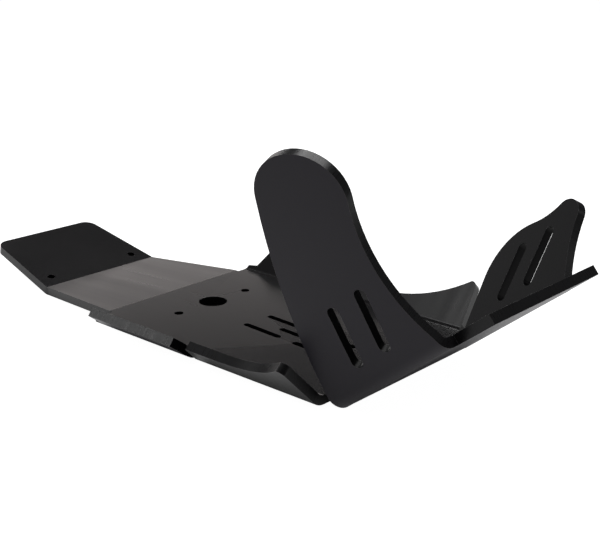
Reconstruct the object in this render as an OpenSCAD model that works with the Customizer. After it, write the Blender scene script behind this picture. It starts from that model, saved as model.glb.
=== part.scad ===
// Motorcycle skid plate, cut from one thick plastic sheet and folded.
// X points forward, Y to the left side of the motorcycle, Z up. The origin is midway between
// the two base bolt holes, on the underside of the flat base.

/* [Sheet] */
// Thickness of the sheet
sheet_t = 8; // [6:0.5:10]
// Inside radius of the fold in front of the base
front_fold_r = 6; // [3:0.5:10]
// Inside radius of the fold between ramp and tongue
tongue_fold_r = 4; // [3:0.5:10]
// Inside radius of the gentle fold behind the base
ramp_fold_r = 45; // [10:1:60]
// Inside radius of the four side flap folds
flap_fold_r = 8; // [4:0.5:12]
// Inside radius of the two wing folds
wing_fold_r = 6; // [4:0.5:12]

/* [Base] */
// Distance between the creases of the side flaps
base_w = 180; // [174:1:200]
// Distance from the bolt holes forward to the front crease
base_front = 221; // [218:1:240]
// Distance from the bolt holes back to the rear crease
base_rear = 50; // [50:1:70]
// Distance that the wide part of the base stays clear of the rear crease
base_step = 4; // [3:0.5:8]
// Diameter of the drain hole
drain_d = 26; // [18:0.5:34]
// Diameter of the two base bolt holes
base_bolt_d = 8.4; // [6:0.2:10]
// Distance between the two base bolt holes
base_bolt_pitch = 83.6; // [70:0.2:100]

/* [Base slots] */
// Length of a base slot
base_slot_len = 45; // [20:1:50]
// Width of a base slot
base_slot_w = 6; // [4:0.5:9]
// Distance from the bolt holes to the rear end of the first slots
base_slot_x = 61.5; // [50:0.5:80]
// Distance that each staggered row lies further forward
base_slot_step = 30; // [24:1:34]
// Distance between the rows
base_slot_pitch = 28; // [22:1:34]
// Distance of the first row to the right of the middle
base_slot_y = 21.5; // [16:0.5:28]
// Angle by which the rows turn to the right towards the front
base_slot_turn = 3.5; // [0:0.5:8]

/* [Ramp and tongue] */
// Length of the ramp between its creases
ramp_len = 112.5; // [80:0.5:140]
// Angle by which the ramp drops to the rear
ramp_drop = 3.5; // [2:0.1:8]
// Width of the ramp at the base
ramp_w = 158; // [140:1:160]
// Width of the sheet at the tongue crease
tongue_w = 133; // [110:1:140]
// Angle of the fold between ramp and tongue
tongue_fold = 17.6; // [8:0.1:40]
// Length of the tongue behind its crease
tongue_len = 97; // [60:1:130]
// Width of the tongue at its rear end
tongue_end_w = 119; // [90:1:132]
// Radius of the two rear corners
tongue_corner_r = 12; // [4:1:30]
// Diameter of the two tongue bolt holes
tongue_bolt_d = 8; // [6:0.2:10]
// Distance between the two tongue bolt holes
tongue_bolt_pitch = 101; // [80:1:106]
// Distance from the tongue crease to its bolt holes
tongue_bolt_x = 15; // [12:0.5:30]

/* [Side flaps] */
// Angle of the rear flaps to the base
rear_flap_angle = 36.9; // [20:0.1:60]
// Height of the rear flaps along their own face
rear_flap_h = 27; // [20:0.5:36]
// Rear end of the rear flaps
rear_flap_x0 = -36; // [-38:1:-20]
// Front end of the rear flaps
rear_flap_x1 = 72; // [60:1:74]
// Distance by which the rear edge of a rear flap leans forward
rear_flap_lean = 4; // [1:0.5:10]
// Angle of the front flaps to the base
front_flap_angle = 47; // [30:0.1:60]
// Rear end of the front flaps
front_flap_x0 = 80; // [78:1:90]
// Front end of the front flaps at the crease
front_flap_x1 = 208; // [200:1:209]
// Height of the front flaps over their low rear part
front_flap_low = 17; // [14:0.5:22]
// Height of the front flaps at their front corner
front_flap_high = 47; // [40:0.5:56]
// Distance from the front flap's rear end at which its curve starts
front_flap_flat = 36; // [20:1:50]
// Radius of the front corner of the front flaps
front_flap_tip_r = 6; // [3:0.5:9]

/* [Front plate] */
// Angle of the front plate to the base
front_angle = 38.6; // [30:0.1:45]
// Length of the front plate from its crease
front_len = 145; // [130:1:160]
// Width of the front plate at its front edge
front_w = 142; // [130:1:144]
// Distance between the creases of the wings
wing_gap = 162; // [160:1:168]
// Distance from the front crease to the front foot of the wings
wing_foot = 111; // [100:1:120]
// Distance by which the wing folds reach behind the front crease
wing_heel = 4; // [1:0.5:8]

/* [Wings] */
// Angle of the tall wing to the front plate
tall_angle = 67.4; // [60:0.1:72]
// Angle of the short wing to the front plate
short_angle = 54.6; // [45:0.1:62]
// Height of the centre of the tall wing's round top
tall_h = 132.5; // [125:0.5:145]
// Distance of the centre of the round top from the front crease
tall_s = 108.5; // [100:0.5:115]
// Radius of the round top
tall_r = 34; // [28:0.5:38]
// Radius of the tall wing's long front curve
tall_front_r = 145; // [120:1:180]
// Radius of the tall wing's bowed rear edge
tall_rear_r = 570; // [400:10:800]
// Height of the short wing's rear shoulder
short_h = 69; // [64:0.5:72]
// Radius of the short wing's rear shoulder
short_shoulder_r = 62; // [56:1:66]
// Distance of the shoulder's centre from the front crease
short_shoulder_s = 76; // [70:0.5:80]
// Radius of the hollow in the short wing's top edge
short_hollow_r = 60; // [40:1:80]
// Radius of the short wing's front curve
short_front_r = 134; // [100:1:160]
// Radius of the short wing's front tip
short_tip_r = 12.5; // [9:0.5:14]
// Height of the centre of the front tip
short_tip_h = 58; // [54:0.5:60]
// Distance of the centre of the front tip from the front crease
short_tip_s = 121; // [118:0.5:126]

/* [Wing slots] */
// Length of a wing slot
wing_slot_len = 51.5; // [30:0.5:54]
// Width of a wing slot
wing_slot_w = 9.4; // [6:0.2:11]
// Height of the round centre of a slot's lower end above the wing crease
wing_slot_h = 19.5; // [18:0.5:22]
// Distance of the first slot's lower end from the front crease
wing_slot_s = 44; // [40:0.5:48]
// Distance between the slots
wing_slot_pitch = 29.5; // [24:0.5:32]
// Forward lean of the tall wing's slots
tall_slot_lean = 22.5; // [16:0.5:30]
// Forward lean of the short wing's slots
short_slot_lean = 41.5; // [36:0.5:45]

/* [Hidden] */
$fn = 96;
through = 4 * sheet_t;
relief_gap = 3;
// Thinning of each face of a flat past a fold, and the length of its end inside the bend
hair = 0.01;
seat = 0.3;
// Thinning of the flat that is being drawn: none for the base
$thin = 0;
fillet_r = 5;
// Distance by which a straight edge ends inside the round that follows it
inset = 0.05;

// Distance from a crease to where the flat sheet starts, to a thousandth. Creases are on the upper face.
function setback(angle, r) = round(1000 * (angle >= 0 ? r : r + sheet_t) * tan(abs(angle) / 2)) / 1000;

// Height of a fold's axis over the lower face of the sheet
function axis_z(angle, r) = angle >= 0 ? sheet_t + r : -r;

front_setback = setback(front_angle, front_fold_r);
ramp_setback = setback(-ramp_drop, ramp_fold_r);
tongue_setback = setback(tongue_fold, tongue_fold_r);
rear_flap_setback = setback(rear_flap_angle, flap_fold_r);
front_flap_setback = setback(front_flap_angle, flap_fold_r);
bend_half = wing_gap / 2 - setback(tall_angle, wing_fold_r) - relief_gap;
plate_start = front_setback - seat;
ramp_start = ramp_setback - seat;
tongue_start = tongue_setback - seat;
// Straight stretch beside a bend before a side edge starts to taper
straight = 2;

// A flat piece of sheet, its lower face at z = 0
module flat() {
    translate([0, 0, $thin])
        linear_extrude(height = sheet_t - 2 * $thin)
            children();
}

// A fold towards +x with its crease at x: the bent strip from y0 to y1, and the children past it.
// A flat past a fold is smaller by a hair on each face, and its end is seated inside the bend.
module fold(x, angle, r, y0, y1) {
    translate([x - setback(angle, r), 0, axis_z(angle, r)]) {
        mirror([0, 0, angle >= 0 ? 0 : 1])
            rotate([90, 0, 0])
                rotate([0, 0, -90])
                    rotate_extrude(angle = abs(angle))
                        translate([r + $thin, -y1 - hair])
                            square([sheet_t - 2 * $thin, y1 - y0 + 2 * hair]);
        rotate([0, -angle, 0])
            translate([-setback(angle, r), 0, -axis_z(angle, r)])
                let($thin = $thin + hair)
                    children();
    }
}

// The same for a fold along the side, with its crease at y = w, and its bent strip from x0 to x1.
// The child is the outline of the flat that it lifts, with x forward and y away from the crease.
module side_fold(w, angle, r, x0, x1) {
    rotate([0, 0, 90])
        fold(w, angle, r, -x1, -x0)
            rotate([0, 0, -90])
                flat()
                    children();
}

// One side of the sheet: 1 is the left side and -1 the right
module on_side(side) {
    mirror([0, side < 0 ? 1 : 0, 0]) children();
}

module both_sides() {
    for (side = [-1, 1])
        on_side(side) children();
}

// A slot with round ends that starts at the origin and runs along x
module slot(len, w) {
    translate([0, -w / 2]) square([len, w]);
    circle(d = w);
    translate([len, 0]) circle(d = w);
}

// Flat base
flank_rear = base_w / 2 - rear_flap_setback;
flank_front = base_w / 2 - front_flap_setback;
base_wide_x0 = base_step - base_rear;

module base_outline() {
    translate([ramp_setback - base_rear, -ramp_w / 2])
        square([base_step + fillet_r, ramp_w]);
    translate([base_wide_x0, -flank_rear])
        square([rear_flap_x1 - base_wide_x0, 2 * flank_rear]);
    translate([rear_flap_x1 - fillet_r, -flank_front + relief_gap])
        square([front_flap_x0 - rear_flap_x1 + 2 * fillet_r, 2 * (flank_front - relief_gap)]);
    translate([front_flap_x0, -flank_front])
        square([front_flap_x1 - front_flap_x0, 2 * flank_front]);
    translate([front_flap_x1 - fillet_r, -bend_half])
        square([base_front - front_setback - front_flap_x1 + fillet_r, 2 * bend_half]);
}

module base_slots() {
    translate([base_slot_x + base_slot_w / 2, -base_slot_y])
        rotate([0, 0, -base_slot_turn])
            for (i = [0, 1, 2], j = [0, 1])
                translate([i * base_slot_step, (j + (i % 2) / 2) * base_slot_pitch])
                    slot(base_slot_len - base_slot_w, base_slot_w);
}

module base() {
    flat()
        difference() {
            base_outline();
            base_slots();
            circle(d = drain_d);
            for (y = [-1, 1] * base_bolt_pitch / 2)
                translate([0, y]) circle(d = base_bolt_d);
        }
}

// Ramp and tongue, which are drawn to the rear along +x
module ramp_outline() {
    rear = ramp_len - tongue_setback - straight;
    front = ramp_setback + straight;
    polygon([
        [ramp_start, -ramp_w / 2],
        [front, -ramp_w / 2],
        [rear, -tongue_w / 2],
        [ramp_len - tongue_setback, -tongue_w / 2],
        [ramp_len - tongue_setback, tongue_w / 2],
        [rear, tongue_w / 2],
        [front, ramp_w / 2],
        [ramp_start, ramp_w / 2]
    ]);
}

module tongue_outline() {
    end = tongue_len - tongue_corner_r;
    half_end = tongue_end_w / 2;
    difference() {
        union() {
            polygon([
                [tongue_start, -tongue_w / 2],
                [tongue_setback + straight, -tongue_w / 2],
                [end, -half_end],
                [end, half_end],
                [tongue_setback + straight, tongue_w / 2],
                [tongue_start, tongue_w / 2]
            ]);
            translate([end, tongue_corner_r - half_end])
                square([tongue_corner_r, tongue_end_w - 2 * tongue_corner_r]);
            for (y = [-1, 1] * (half_end - tongue_corner_r))
                translate([end, y]) circle(r = tongue_corner_r);
        }
        for (y = [-1, 1] * tongue_bolt_pitch / 2)
            translate([tongue_bolt_x, y]) circle(d = tongue_bolt_d);
    }
}

module tail() {
    mirror([1, 0, 0])
        fold(base_rear, -ramp_drop, ramp_fold_r, -ramp_w / 2, ramp_w / 2) {
            flat() ramp_outline();
            fold(ramp_len, tongue_fold, tongue_fold_r, -tongue_w / 2, tongue_w / 2)
                flat() tongue_outline();
        }
}

// Side flaps. Outlines are drawn with x forward and y up the flap from its crease.
module rear_flap() {
    side_fold(base_w / 2, rear_flap_angle, flap_fold_r, base_wide_x0, rear_flap_x1)
        polygon([
            [base_wide_x0, rear_flap_setback - seat],
            [rear_flap_x1, rear_flap_setback - seat],
            [rear_flap_x1, rear_flap_h],
            [rear_flap_x0 + rear_flap_lean, rear_flap_h],
            [rear_flap_x0, rear_flap_setback + 2 * straight],
            [base_wide_x0, rear_flap_setback + straight]
        ]);
}

module front_flap_outline() {
    lean = 4;
    tip_x = front_flap_x1 - lean - front_flap_tip_r;
    curve_x = front_flap_x0 + front_flap_flat;
    run = tip_x - curve_x;
    rise = front_flap_high - front_flap_low;
    curve_r = (run * run + rise * rise) / (2 * rise);
    difference() {
        union() {
            polygon([
                [front_flap_x0, front_flap_setback - seat],
                [front_flap_x1, front_flap_setback - seat],
                [front_flap_x1, front_flap_setback + straight],
                [front_flap_x1 - lean, front_flap_high - front_flap_tip_r],
                [tip_x, front_flap_high],
                [front_flap_x0, front_flap_high]
            ]);
            translate([tip_x, front_flap_high - front_flap_tip_r])
                circle(r = front_flap_tip_r);
        }
        translate([curve_x, front_flap_low + curve_r]) circle(r = curve_r, $fn = 256);
        translate([front_flap_x0 - 1, front_flap_low])
            square([front_flap_flat + 1, rise + 1]);
    }
}

module front_flap() {
    side_fold(base_w / 2, front_flap_angle, flap_fold_r, front_flap_x0, front_flap_x1)
        front_flap_outline();
}

// Front plate, drawn forward from its crease
module front_plate() {
    flank = front_setback + relief_gap;
    right = wing_gap / 2 - setback(tall_angle, wing_fold_r);
    left = wing_gap / 2 - setback(short_angle, wing_fold_r);
    flat()
        union() {
            translate([plate_start, -bend_half])
                square([flank + fillet_r - plate_start, 2 * bend_half]);
            translate([flank, -front_w / 2])
                square([front_len - flank, front_w]);
            translate([flank, -right])
                square([wing_foot - flank, right + left]);
        }
}

// Wings. Outlines are drawn with x forward along the front plate and y up the wing.

// The point at distance a from p and b from q that lies to the right of the line from p to q
function meet(p, a, q, b) =
    let(d = norm(q - p), e = (q - p) / d, k = (a * a - b * b + d * d) / (2 * d))
        p + k * e + sqrt(a * a - k * k) * [e[1], -e[0]];

// Height at which the flat part of a wing starts, inside its fold
function wing_start(angle) = setback(angle, wing_fold_r) - seat;

module wing_slots(lean) {
    for (i = [0, 1])
        translate([wing_slot_s + i * wing_slot_pitch, wing_slot_h])
            rotate([0, 0, 90 - lean])
                slot(wing_slot_len - wing_slot_w, wing_slot_w);
}

module tall_wing_outline() {
    foot = wing_start(tall_angle);
    top = [tall_s, tall_h];
    // Both long curves start just above the foot and run into the round top
    front_c = meet([wing_foot, foot + straight], tall_front_r, top, tall_front_r + tall_r - inset);
    rear_c = meet([-wing_heel, foot + straight], tall_rear_r, top, tall_rear_r - tall_r + inset);
    difference() {
        union() {
            intersection() {
                polygon([
                    [-wing_heel, foot],
                    [wing_foot, foot],
                    [wing_foot, front_c[1]],
                    top + (front_c - top) / norm(front_c - top) * (tall_r + straight),
                    top,
                    top + (top - rear_c) / norm(top - rear_c) * (tall_r + straight),
                    [-wing_heel, tall_h]
                ]);
                translate(rear_c) circle(r = tall_rear_r, $fn = 256);
            }
            translate(top) circle(r = tall_r);
        }
        translate(front_c) circle(r = tall_front_r, $fn = 256);
        wing_slots(tall_slot_lean);
    }
}

module short_wing_outline() {
    foot = wing_start(short_angle);
    heel = [-wing_heel, foot + straight];
    shoulder = [short_shoulder_s, short_h - short_shoulder_r];
    tip = [short_tip_s, short_tip_h];
    front_c = meet([wing_foot, foot + straight], short_front_r, tip, short_front_r + short_tip_r - inset);
    hollow = meet(
        tip, short_hollow_r + short_tip_r - inset, shoulder, short_hollow_r + short_shoulder_r - inset
    );
    // Where the straight rear edge runs into the shoulder
    away = heel - shoulder;
    turn = atan2(away[1], away[0]) - acos(short_shoulder_r / norm(away));
    touch = shoulder + (short_shoulder_r - inset) * [cos(turn), sin(turn)];
    difference() {
        union() {
            polygon([
                [-wing_heel, foot],
                [wing_foot, foot],
                tip + (front_c - tip) / norm(front_c - tip) * (short_tip_r + straight),
                tip,
                tip + (hollow - tip) / norm(hollow - tip) * (short_tip_r + straight),
                shoulder + (hollow - shoulder) / norm(hollow - shoulder) * (short_shoulder_r + straight),
                shoulder,
                touch,
                heel
            ]);
            translate(shoulder) circle(r = short_shoulder_r);
            translate(tip) circle(r = short_tip_r);
        }
        translate(hollow) circle(r = short_hollow_r);
        translate(front_c) circle(r = short_front_r);
        translate([-through, -short_shoulder_r])
            square([front_len + 2 * through, short_shoulder_r + foot]);
        wing_slots(short_slot_lean);
    }
}

module wing(angle) {
    side_fold(wing_gap / 2, angle, wing_fold_r, -wing_heel, wing_foot)
        children();
}

module skid_plate() {
    color("#1b1b1d") {
        base();
        tail();
        both_sides() {
            rear_flap();
            front_flap();
        }
        fold(base_front, front_angle, front_fold_r, -bend_half, bend_half) {
            front_plate();
            on_side(-1) wing(tall_angle) tall_wing_outline();
            on_side(1) wing(short_angle) short_wing_outline();
        }
    }
}

skid_plate();
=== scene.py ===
# %% [markdown]
# # A skid plate for a motorcycle
# One thick sheet of black plastic, cut to shape on a router and then folded. The packed model
# already has its exact shape, in metres, so the shape isn't made a second time. This script adds
# what a solid doesn't have: rounded edges, satin faces, the marks of the cutter, soft light, a
# pale floor and the photograph's camera.
#
# The frame comes first. Its box is kept, and the floor is later set just under it.

# %% Frame
from math import pi, radians

import bmesh
import bpy
from mathutils import Matrix, Vector
from mathutils.bvhtree import BVHTree


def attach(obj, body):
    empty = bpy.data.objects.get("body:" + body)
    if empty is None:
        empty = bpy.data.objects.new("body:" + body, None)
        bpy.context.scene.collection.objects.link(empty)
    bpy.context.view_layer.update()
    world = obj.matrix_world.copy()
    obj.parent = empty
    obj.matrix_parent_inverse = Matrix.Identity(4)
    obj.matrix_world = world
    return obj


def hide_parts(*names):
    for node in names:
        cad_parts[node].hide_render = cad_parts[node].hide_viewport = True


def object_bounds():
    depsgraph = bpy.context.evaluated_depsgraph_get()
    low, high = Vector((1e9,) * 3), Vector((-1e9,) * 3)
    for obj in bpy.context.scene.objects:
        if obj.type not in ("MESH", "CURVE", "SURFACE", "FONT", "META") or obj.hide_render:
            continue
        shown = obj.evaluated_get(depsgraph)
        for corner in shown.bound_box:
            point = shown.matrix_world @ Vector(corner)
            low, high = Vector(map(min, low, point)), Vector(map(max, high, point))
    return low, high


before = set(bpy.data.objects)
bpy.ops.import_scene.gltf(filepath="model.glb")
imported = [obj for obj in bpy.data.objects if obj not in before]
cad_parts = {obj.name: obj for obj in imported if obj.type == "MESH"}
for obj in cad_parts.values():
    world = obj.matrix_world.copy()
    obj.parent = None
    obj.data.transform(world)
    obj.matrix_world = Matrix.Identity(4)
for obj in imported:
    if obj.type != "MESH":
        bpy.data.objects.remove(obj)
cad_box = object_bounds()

scene = bpy.context.scene
print("solid model:", [[round(v, 4) for v in corner] for corner in cad_box])

# %% [markdown]
# The camera. It could be aimed by eye with a Track To constraint, but then the plate's outline
# would never lie on the photograph's. So its place, turn and lens are worked out from the bolt
# holes, the folds and their vanishing points, and the picture needs no shift.
#
# A camera looks along its own -Z. The three turns are written from the outside in: about the
# vertical, then up from straight down, then the small roll about the line of sight.

# %% Camera
CAMERA_AT = Vector((0.68503, -0.64647, 0.34387))
VIEW_TURN = radians(41.82)  # from +Y, the plate's left side, towards -X, its rear
VIEW_DROP = radians(18.557)  # how far the camera looks down
VIEW_ROLL = radians(0.179)
FOCAL_LENGTH = 65.43  # mm, on a picture FILM_WIDTH wide
FILM_WIDTH = 36
FARTHEST = 50  # m, nothing beyond this is drawn

lens = bpy.data.cameras.new("photo_camera")
lens.sensor_width = FILM_WIDTH
lens.lens = FOCAL_LENGTH
lens.clip_end = FARTHEST
camera = bpy.data.objects.new("photo_camera", lens)
camera.matrix_world = (
    Matrix.Translation(CAMERA_AT)
    @ Matrix.Rotation(VIEW_TURN, 4, "Z")
    @ Matrix.Rotation(pi / 2 - VIEW_DROP, 4, "X")
    @ Matrix.Rotation(VIEW_ROLL, 4, "Z")
)
scene.collection.objects.link(camera)
scene.camera = camera
print("camera looks along", [round(-v, 3) for v in camera.matrix_world.col[2][:3]])

# %% [markdown]
# Shader maths. A finish is a graph of nodes, and each sum in it is a Math node. Written out one by
# one they are hard to follow, so a small class wraps what a node gives, and Python's own operators
# add the Math nodes: 1 - mask reads as it does on paper.

# %% Sums of values


class Value:
    """What a node gives: its first output, or another one as in path["Is Camera Ray"]."""

    def __init__(self, graph, made, out=0):
        self.graph = graph
        self.made = made
        self.out = out

    def __getitem__(self, out):
        return Value(self.graph, self.made, out)

    def math(self, operation, *values, clamp=False):
        settings = {"operation": operation, "use_clamp": clamp}
        return self.graph.node("ShaderNodeMath", settings, dict(enumerate(values)))

    def __add__(self, other):
        return self.math("ADD", self, other)

    def __sub__(self, other):
        return self.math("SUBTRACT", self, other)

    def __rsub__(self, other):
        return self.math("SUBTRACT", other, self)

    def __mul__(self, other):
        return self.math("MULTIPLY", self, other)

    def __abs__(self):
        return self.math("ABSOLUTE", self)

    __radd__ = __add__
    __rmul__ = __mul__

    def clamped(self, slope=1.0):
        """The value times the slope, kept between 0 and 1. A steep slope makes a soft edge hard."""
        return self.math("MULTIPLY", self, slope, clamp=True)


print("values can be added, subtracted, multiplied and clamped")

# %% [markdown]
# Every other node comes from one method. It takes the node's type, its settings, and the values or
# links of its sockets by name. The settings are made first, because they can change which sockets
# a node has. The methods below it are short ways to write the nodes that this sheet needs often.

# %% Graphs of nodes
BUMP_DEPTH = 0.0001  # m, the full height of any bump on the sheet


class Graph:
    """The graph of nodes of one finish, of the floor or of the world."""

    def __init__(self, owner):
        owner.use_nodes = True
        self.tree = owner.node_tree
        self.tree.nodes.clear()

    def node(self, kind, settings=None, sockets=None):
        made = self.tree.nodes.new(kind)
        for name, setting in (settings or {}).items():
            setattr(made, name, setting)
        for name, value in (sockets or {}).items():
            if isinstance(value, Value):
                self.tree.links.new(value.made.outputs[value.out], made.inputs[name])
            else:
                made.inputs[name].default_value = value
        return Value(self, made)

    def blend(self, factor, a, b):
        """Colour a where the factor is 0, b where it is 1. Sockets 6, 7 and 2 hold the colours."""
        return self.node("ShaderNodeMix", {"data_type": "RGBA"}, {0: factor, 6: a, 7: b})[2]

    def noise(self, place, scale, detail, roughness=0.5):
        """A cloudy pattern around 0.5, with about `scale` clouds to the metre."""
        sockets = {"Vector": place, "Scale": scale, "Detail": detail, "Roughness": roughness}
        return self.node("ShaderNodeTexNoise", None, sockets)

    def streaks(self, place, scale, detail, roughness=0.5, turn=0.0):
        """A pattern with another scale on each axis, turned about the vertical."""
        drawn_out = {"Vector": place, "Scale": scale, "Rotation": (0, 0, turn)}
        return self.noise(self.node("ShaderNodeMapping", None, drawn_out), 1.0, detail, roughness)

    def plastic(self, colour, roughness, height, bump, specular):
        """The surface of the sheet: what varies over it is linked, the rest is a plain number."""
        raised = {"Strength": bump, "Distance": BUMP_DEPTH, "Height": height}
        sockets = {
            "Base Color": colour,
            "Roughness": roughness.clamped(),
            "Normal": self.node("ShaderNodeBump", None, raised),
            "Specular IOR Level": specular,
        }
        return self.node("ShaderNodeBsdfPrincipled", None, sockets)


print("short ways:", [name for name in vars(Graph) if not name.startswith("__")])

# %% [markdown]
# The sheet's edges. On the solid they are perfectly sharp, which no real sheet is: each has a small
# round where the light catches in a thin line. A Bevel modifier can make the rounds, but not on
# the loose triangles of the packed mesh. So a copy of it is taken, and there the corners that
# share a place are merged, and the triangles of one flat are joined to one face.

# %% Merged copy
SAME_PLACE = 0.00003  # m, corners nearer than this are one
SAME_FLAT = radians(0.6)  # faces that meet at less than this are one flat


def merged_copy(node_name):
    """A copy of the packed mesh, with its corners merged and its flats joined."""
    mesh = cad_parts[node_name].data.copy()
    mesh.name = "sheet"
    made = bmesh.new()
    made.from_mesh(mesh)
    bmesh.ops.remove_doubles(made, verts=made.verts, dist=SAME_PLACE)
    bmesh.ops.dissolve_degenerate(made, edges=made.edges, dist=SAME_PLACE)
    bmesh.ops.dissolve_limit(made, angle_limit=SAME_FLAT, verts=made.verts, edges=made.edges)
    made.to_mesh(mesh)
    made.free()
    mesh.materials.clear()
    return mesh


sheet_mesh = merged_copy("skid_plate")
print("sheet:", len(sheet_mesh.polygons), "faces,", len(sheet_mesh.vertices), "corners")

# %% [markdown]
# Rolled faces and cut walls. A folded sheet has two kinds of surface: the faces that the rollers
# pressed, and the walls that the cutter left. The faces could be picked by hand, but not again
# after the shape has changed. So each face is asked for the sheet behind it: a ray sent inwards
# from a rolled face comes out after exactly one thickness, and a ray from a wall doesn't. Between
# two slots of the base it may, so there the upright faces always count as walls.

# %% Which faces the cutter made
SHEET = 0.008  # m, the thickness
INSIDE_BY = 0.00001  # m, how deep under a face its ray starts
BESIDE_BY = 0.0004  # m, from a corner to the start of a ray beside it
DEPTH_WITHIN = 0.0001  # m
OPPOSITE = -0.98  # two normals whose product is below this face away from each other
BASE_REACH = (0.2, 0.08)  # m, the flat base lies within this of the origin, along x and y
UPRIGHT = 0.5  # the normal of an upright face rises or falls by less than this


def place_on(face):
    """A place on the face: its middle, or beside its widest corner where it has many corners."""
    if len(face.verts) <= 4:
        return face.calc_center_median_weighted()
    middle = face.calc_center_median()
    corner = max(face.loops, key=lambda loop: loop.calc_angle())
    step = corner.calc_tangent() * BESIDE_BY
    sides = (corner.vert.co - step, corner.vert.co + step)
    return min(sides, key=lambda place: (place - middle).length)


def cutter_made(face, solid):
    """Whether the cutter left this face, and not the rollers."""
    start = place_on(face) - face.normal * INSIDE_BY
    _, normal, _, depth = solid.ray_cast(start, -face.normal)
    one_sheet = (
        depth is not None
        and abs(depth - SHEET) < DEPTH_WITHIN
        and normal.dot(face.normal) < OPPOSITE
    )
    in_base = 0 < start.z < SHEET and abs(start.x) < BASE_REACH[0] and abs(start.y) < BASE_REACH[1]
    return not one_sheet or (in_base and abs(face.normal.z) < UPRIGHT)


print("a rolled face has", SHEET * 1000, "mm of plastic behind it")

# %% [markdown]
# Each face then gets the number of its finish: one for the inside of the folded sheet, one for its
# outside, one for the open walls, and one darkened with painted shade for walls that look at
# another wall close by, in holes, slots and notches. The Bevel modifier gives the rounds the finish
# that is left, paler from wear and from a painted highlight.
#
# The cutter's marks turn with every curve, which no pattern in Object coordinates does. So a UV map
# holds, in metres, how far each corner is along the cut and how far across the sheet.

# %% Finish of each face
INNER, WALL, ROUND, OUTER, SHADED_SLOT = range(5)  # the order of the sheet's materials
NARROW = 0.03  # m, a wall with another one nearer than this is in a hole, slot or notch
CLEAR_BY = 0.0001  # m, how far above a face its outward ray starts


def faces_a_wall(face, solid):
    """Whether another face stands close in front of this one."""
    start = face.calc_center_median() + face.normal * CLEAR_BY
    distance = solid.ray_cast(start, face.normal)[3]
    return distance is not None and distance < NARROW


def choose_finishes(made):
    """Give every face the number of its finish."""
    solid = BVHTree.FromBMesh(made)
    for face in made.faces:
        if not cutter_made(face, solid):
            face.material_index = INNER if face.normal.z > 0 else OUTER
        else:
            face.material_index = SHADED_SLOT if faces_a_wall(face, solid) else WALL


def lay_out_cuts(made):
    """A UV map in metres: u along the cut, v across the sheet. Only the walls' finish reads it."""
    along_cut = made.loops.layers.uv.new("along_cut")
    for face in made.faces:
        beside = [f for edge in face.edges for f in edge.link_faces if f is not face]
        rolled = [f for f in beside if f.material_index in (INNER, OUTER)]
        across = Vector((0, 0, 1))
        if rolled:
            across = max(rolled, key=lambda f: f.calc_area()).normal
        along = face.normal.cross(across)
        for loop in face.loops:
            loop[along_cut].uv = (loop.vert.co.dot(along), loop.vert.co.dot(across))


made = bmesh.new()
made.from_mesh(sheet_mesh)
choose_finishes(made)
lay_out_cuts(made)
made.to_mesh(sheet_mesh)
made.free()
numbers = [face.material_index for face in sheet_mesh.polygons]
print("faces inside, open wall, round, outside, slot:", [numbers.count(i) for i in range(5)])

# %% [markdown]
# The sheet itself. The rounds could be cut into the mesh, but a modifier keeps them one number that
# is easy to change. It works on every edge sharper than the facets of a bend. The faces are then
# shaded smooth, which would make the flats look blown up next to their rounds, so a Weighted Normal
# modifier lets the large faces decide how the light falls.

# %% Sheet with rounded edges
EDGE_ROUND = 0.0007  # m
ROUND_SEGMENTS = 3
SHARP = radians(35)  # edges that turn more than this are rounded

for face in sheet_mesh.polygons:
    face.use_smooth = True
sheet = bpy.data.objects.new("folded_sheet", sheet_mesh)
scene.collection.objects.link(sheet)
rounding = sheet.modifiers.new("edges", "BEVEL")
rounding.width = EDGE_ROUND
rounding.segments = ROUND_SEGMENTS
rounding.limit_method = "ANGLE"
rounding.angle_limit = SHARP
rounding.use_clamp_overlap = True
rounding.material = ROUND
shading = sheet.modifiers.new("flat_shading", "WEIGHTED_NORMAL")
shading.keep_sharp = True
shading.weight = 100
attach(sheet, "root")
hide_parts("skid_plate")
print("edges rounded by", EDGE_ROUND * 1000, "mm")

# %% [markdown]
# The rolled faces. The plastic is black all through, with a satin face. A single black would look
# like paint: the real face has a fine grain from the rollers, a cloudy film of handling that makes
# it duller in patches, and faint scratches that run the long way where the film is thick. All of
# it is noise on Object coordinates, which are metres here, so the scales are real ones. The outside
# is rougher than the inside, and its lighter, cooler colours are a painted reflection of the ground
# that it faces.

# %% Rolled faces
ROLLED_SPECULAR = 0.2
GRAIN_PER_M = 1300.0
CLOUDS_PER_M = 13.0
SCRATCHES_PER_M = (9.0, 700.0, 700.0)  # long along x, fine across it
SCRATCH_TURN = 0.06  # radians, so that they don't follow the edges exactly
SCRATCH_FROM = 0.64  # only the peaks of the lines are scratches
FILM_FROM = 0.46  # and only where the clouds are thicker than this


def rolled_face(name, dark, light, scratched, roughness):
    finish = bpy.data.materials.new(name)
    graph = Graph(finish)
    place = graph.node("ShaderNodeTexCoord")["Object"]
    grain = graph.noise(place, GRAIN_PER_M, 3.0, 0.6)
    clouds = graph.noise(place, CLOUDS_PER_M, 5.0, 0.62)
    lines = graph.streaks(place, SCRATCHES_PER_M, 4.0, 0.65, SCRATCH_TURN)
    scratch = (lines - SCRATCH_FROM).clamped(8.0) * (clouds - FILM_FROM).clamped(6.0)
    colour = graph.blend(scratch * 0.4, graph.blend(clouds, dark, light), scratched)
    rough = (clouds - 0.5) * 0.08 + (grain - 0.5) * 0.04 + scratch * 0.08 + roughness
    height = grain * 0.3 - scratch * 0.3
    surface = graph.plastic(colour, rough, height, 0.2, ROLLED_SPECULAR)
    graph.node("ShaderNodeOutputMaterial", None, {"Surface": surface})
    return finish


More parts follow.
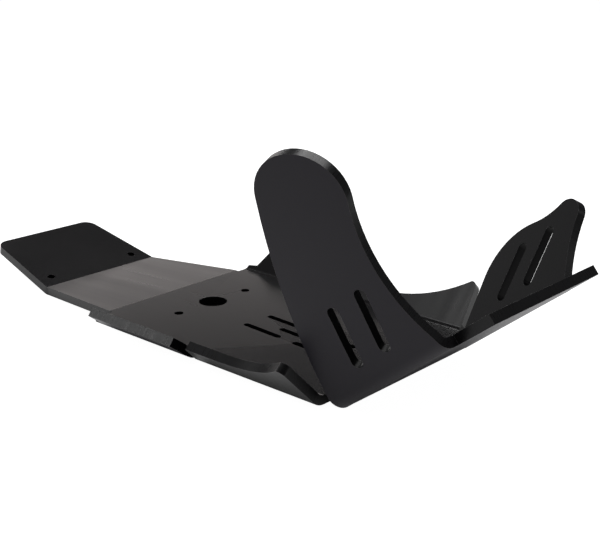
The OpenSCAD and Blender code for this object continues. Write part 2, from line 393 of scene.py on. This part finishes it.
inner_face = rolled_face(
    "inner_black_plastic",
    dark=(0.0070, 0.0066, 0.0072, 1),
    light=(0.0102, 0.0096, 0.0104, 1),
    scratched=(0.03, 0.03, 0.031, 1),
    roughness=0.21,
)
# The outside's lighter, bluer colours are painted reflection; its higher roughness is its own.
outer_face = rolled_face(
    "outer_black_plastic",
    dark=(0.0088, 0.0071, 0.0116, 1),
    light=(0.0130, 0.0106, 0.0168, 1),
    scratched=(0.035, 0.034, 0.037, 1),
    roughness=0.42,
)
print("rolled faces:", inner_face.name, "and", outer_face.name)

# %% [markdown]
# The cut walls. The router leaves a duller surface, with fine lines across the sheet where the
# blade chattered and slower waves where its speed changed. Both are noise on the UV map, drawn out
# across the sheet. In holes, slots and notches little light comes in, so their walls get painted
# shade: a darker colour and less sheen than the open walls.

# %% Cut walls
CHATTER_PER_M = (1300.0, 50.0, 1.0)  # along the cut, across the sheet
WAVES_PER_M = (160.0, 20.0, 1.0)


def cut_wall(name, dark, light, roughness, specular):
    finish = bpy.data.materials.new(name)
    graph = Graph(finish)
    place = graph.node("ShaderNodeUVMap", {"uv_map": "along_cut"})
    chatter = graph.streaks(place, CHATTER_PER_M, 3.0, 0.6)
    waves = graph.streaks(place, WAVES_PER_M, 2.0)
    mark = chatter * 0.8 + waves * 0.2
    colour = graph.blend(mark, dark, light)
    surface = graph.plastic(colour, (mark - 0.5) * 0.25 + roughness, mark, 0.3, specular)
    graph.node("ShaderNodeOutputMaterial", None, {"Surface": surface})
    return finish


open_wall = cut_wall(
    "routed_black_plastic",
    dark=(0.003, 0.003, 0.0034, 1),
    light=(0.009, 0.0087, 0.0096, 1),
    roughness=0.3,
    specular=0.19,
)
# Darker colour and less sheen in holes, slots and notches: painted shade.
slot_wall_painted_shade = cut_wall(
    "slot_black_plastic_painted_shade",
    dark=(0.001, 0.001, 0.0012, 1),
    light=(0.003, 0.0029, 0.0033, 1),
    roughness=0.32,
    specular=0.07,
)
print("cut walls:", open_wall.name, "and", slot_wall_painted_shade.name)

# %% [markdown]
# The rounded edges. They were broken with a scraper and rub against everything, which leaves small
# nicks and makes them paler. Part of that paleness is wear, and part is a painted highlight: a thin
# bright line along each edge. Being narrow, they need only one noise.

# %% Worn edges and painted highlight
NICKS_PER_M = 220.0


def worn_and_highlit_round(name, dark, light, roughness, specular):
    finish = bpy.data.materials.new(name)
    graph = Graph(finish)
    nicks = graph.noise(graph.node("ShaderNodeTexCoord")["Object"], NICKS_PER_M, 4.0, 0.7)
    colour = graph.blend(nicks, dark, light)
    surface = graph.plastic(colour, (nicks - 0.5) * 0.3 + roughness, nicks, 0.2, specular)
    graph.node("ShaderNodeOutputMaterial", None, {"Surface": surface})
    return finish


# The light colour is partly wear and partly a painted highlight along every edge.
worn_and_highlit_edge = worn_and_highlit_round(
    "worn_black_edge_painted_highlight",
    dark=(0.018, 0.018, 0.019, 1),
    light=(0.085, 0.084, 0.088, 1),
    roughness=0.3,
    specular=0.5,
)
for finish in (inner_face, open_wall, worn_and_highlit_edge, outer_face, slot_wall_painted_shade):
    sheet_mesh.materials.append(finish)
print("materials:", [finish.name for finish in sheet_mesh.materials])

# %% [markdown]
# The floor. The photograph has a pure white ground. A white floor under enough light would burn out
# the plate's own highlights, so the floor is matt grey to the lamps and glows only to the eye: to
# camera, glossy and transmission rays, and not to those that light the plate.
#
# What the plate mirrors of the glow is held back in two ways: near the plate, where Ambient
# Occlusion finds little open sky, and far away, or the far floor would light the rims. Right under
# the plate the floor is dark for every ray, which is the plate's shadow.

# %% Floor
FLOOR_Z = cad_box[0][2] - 0.0002  # just under the lowest place of the plate
FLOOR_HALF = 60  # m, so far that its end is never seen
FLOOR_GLOW = 0.97
FLOOR_GREY = (0.4, 0.4, 0.4, 1)
SHADE_GREY = (0.025, 0.025, 0.025, 1)
SHADE_X = (-0.09, 0.2)  # m, the floor that the flat base covers
SHADE_Y = 0.08
SHADE_SOFT = 40.0  # per metre: its rim fades over 25 mm
OPEN_WITHIN = 0.12  # m, how far Ambient Occlusion looks
OPEN_SAMPLES = 12
OPEN_FROM = 0.15  # where less of the sky than this is open, nothing glows in reflections
NEAR_FLOOR = 1.1  # m, beyond this only FAR_GLOW of the mirrored glow is left
FAR_GLOW = 0.1
FADE = 1.5  # slope of both fades


def white_floor():
    finish = bpy.data.materials.new("floor_white")
    graph = Graph(finish)
    ray = graph.node("ShaderNodeLightPath")
    by_eye = ray["Is Camera Ray"]
    seen = (by_eye + ray["Is Glossy Ray"] + ray["Is Transmission Ray"]).clamped()
    place = graph.node("ShaderNodeTexCoord")["Object"]
    away = graph.node("ShaderNodeVectorMath", {"operation": "LENGTH"}, {0: place})["Value"]
    near = (NEAR_FLOOR - away).clamped(FADE) * (1 - FAR_GLOW) + FAR_GLOW
    occlusion = {"samples": OPEN_SAMPLES}
    open_sky = graph.node("ShaderNodeAmbientOcclusion", occlusion, {"Distance": OPEN_WITHIN})["AO"]
    mirrored = (open_sky - OPEN_FROM).clamped(FADE) * near
    share = by_eye * (1 - mirrored) + mirrored  # all of it for the camera, less for reflections
    spot = graph.node("ShaderNodeSeparateXYZ", None, {"Vector": place})
    rear = (spot["X"] - SHADE_X[0]).clamped(SHADE_SOFT)
    front = (SHADE_X[1] - spot["X"]).clamped(SHADE_SOFT)
    covered = rear * front * (SHADE_Y - abs(spot["Y"])).clamped(SHADE_SOFT)
    matt = graph.node("ShaderNodeBsdfDiffuse", None, {"Color": FLOOR_GREY})
    glow = graph.node("ShaderNodeEmission", None, {"Strength": FLOOR_GLOW})
    glowing = graph.node("ShaderNodeAddShader", None, {0: matt, 1: glow})
    lit = graph.node("ShaderNodeMixShader", None, {0: seen * share, 1: matt, 2: glowing})
    shade = graph.node("ShaderNodeBsdfDiffuse", None, {"Color": SHADE_GREY})
    surface = graph.node("ShaderNodeMixShader", None, {0: covered, 1: lit, 2: shade})
    graph.node("ShaderNodeOutputMaterial", None, {"Surface": surface})
    return finish


floor_mesh = bpy.data.meshes.new("floor")
signs = ((-1, -1), (1, -1), (1, 1), (-1, 1))
corners = [(x * FLOOR_HALF, y * FLOOR_HALF, FLOOR_Z) for x, y in signs]
floor_mesh.from_pydata(corners, [], [(0, 1, 2, 3)])
floor_mesh.materials.append(white_floor())
floor = bpy.data.objects.new("floor", floor_mesh)
scene.collection.objects.link(floor)
print("floor at", round(FLOOR_Z, 4))

# %% [markdown]
# The world. Behind the floor it has to be as white as the floor, and a white world would also light
# the plate from everywhere and wash out its black. Is Camera Ray separates the two: the world is
# white to the camera and dim to everything else.

# %% World
WORLD_GLOW = 0.1

world = bpy.data.worlds.new("studio")
scene.world = world
sky = Graph(world)
strength = sky.node("ShaderNodeLightPath")["Is Camera Ray"] * (1 - WORLD_GLOW) + WORLD_GLOW
backdrop = sky.node("ShaderNodeBackground", None, {"Color": (1, 1, 1, 1), "Strength": strength})
sky.node("ShaderNodeOutputWorld", None, {"Surface": backdrop})
print("world glows by", WORLD_GLOW)

# %% [markdown]
# The lamps. Black plastic shows hardly any colour of its own, only what it mirrors, so a few lamps
# set up by eye would leave most of it black. Here the main lamps stand where a flat or a rim
# mirrors them into the camera, found by mirroring the line of sight in that surface. The warm low
# one slides along ramp and base, the two rim lamps draw the top of the tall wing, and the others
# keep the plate readable from every side.

# %% Lamps
LAMPS_AIM_AT = Vector((0.05, 0.0, 0.05))
PLAIN = (1.0, 1.0, 1.0)
WARM = (1.0, 0.93, 0.91)
LAMPS = (  # name, place in m, width and height in m, watts, colour
    ("overhead", (0.3, -0.2, 2.0), (1.6, 1.6), 9.0, PLAIN),
    ("rim_light", (-0.15, 1.15, 1.93), (1.75, 0.46), 24.0, PLAIN),
    ("rim_left", (-1.77, 0.81, 1.2), (0.32, 0.32), 2.5, PLAIN),
    ("rear_low", (-1.58, -1.27, 1.06), (0.5, 0.4), 5.0, PLAIN),
    ("rear_high", (-0.95, -0.9, 1.91), (0.5, 0.4), 5.0, PLAIN),
    ("front_fill", (2.12, 0.97, 0.93), (1.2, 1.0), 4.0, PLAIN),
    ("right_fill", (1.7, -1.75, 0.75), (1.6, 1.0), 3.5, PLAIN),
    ("left_fill", (-2.1, -0.38, 0.76), (1.0, 0.8), 1.2, PLAIN),
    ("low_behind", (-1.96, 1.94, 0.565), (2.6, 0.4), 6.0, WARM),
)

for name, place, size, watts, colour in LAMPS:
    light = bpy.data.lights.new(name, "AREA")
    light.shape = "RECTANGLE"
    light.size, light.size_y = size
    light.energy = watts
    light.color = colour
    lamp = bpy.data.objects.new(name, light)
    lamp.location = place
    lamp.rotation_euler = (LAMPS_AIM_AT - Vector(place)).to_track_quat("-Z", "Y").to_euler()
    lamp.visible_camera = False
    scene.collection.objects.link(lamp)
print(len(LAMPS), "lamps,", sum(row[3] for row in LAMPS), "watts in all")

# %% [markdown]
# Last, the Standard view shows the colours as they are written.

# %% Colour view
scene.view_settings.view_transform = "Standard"
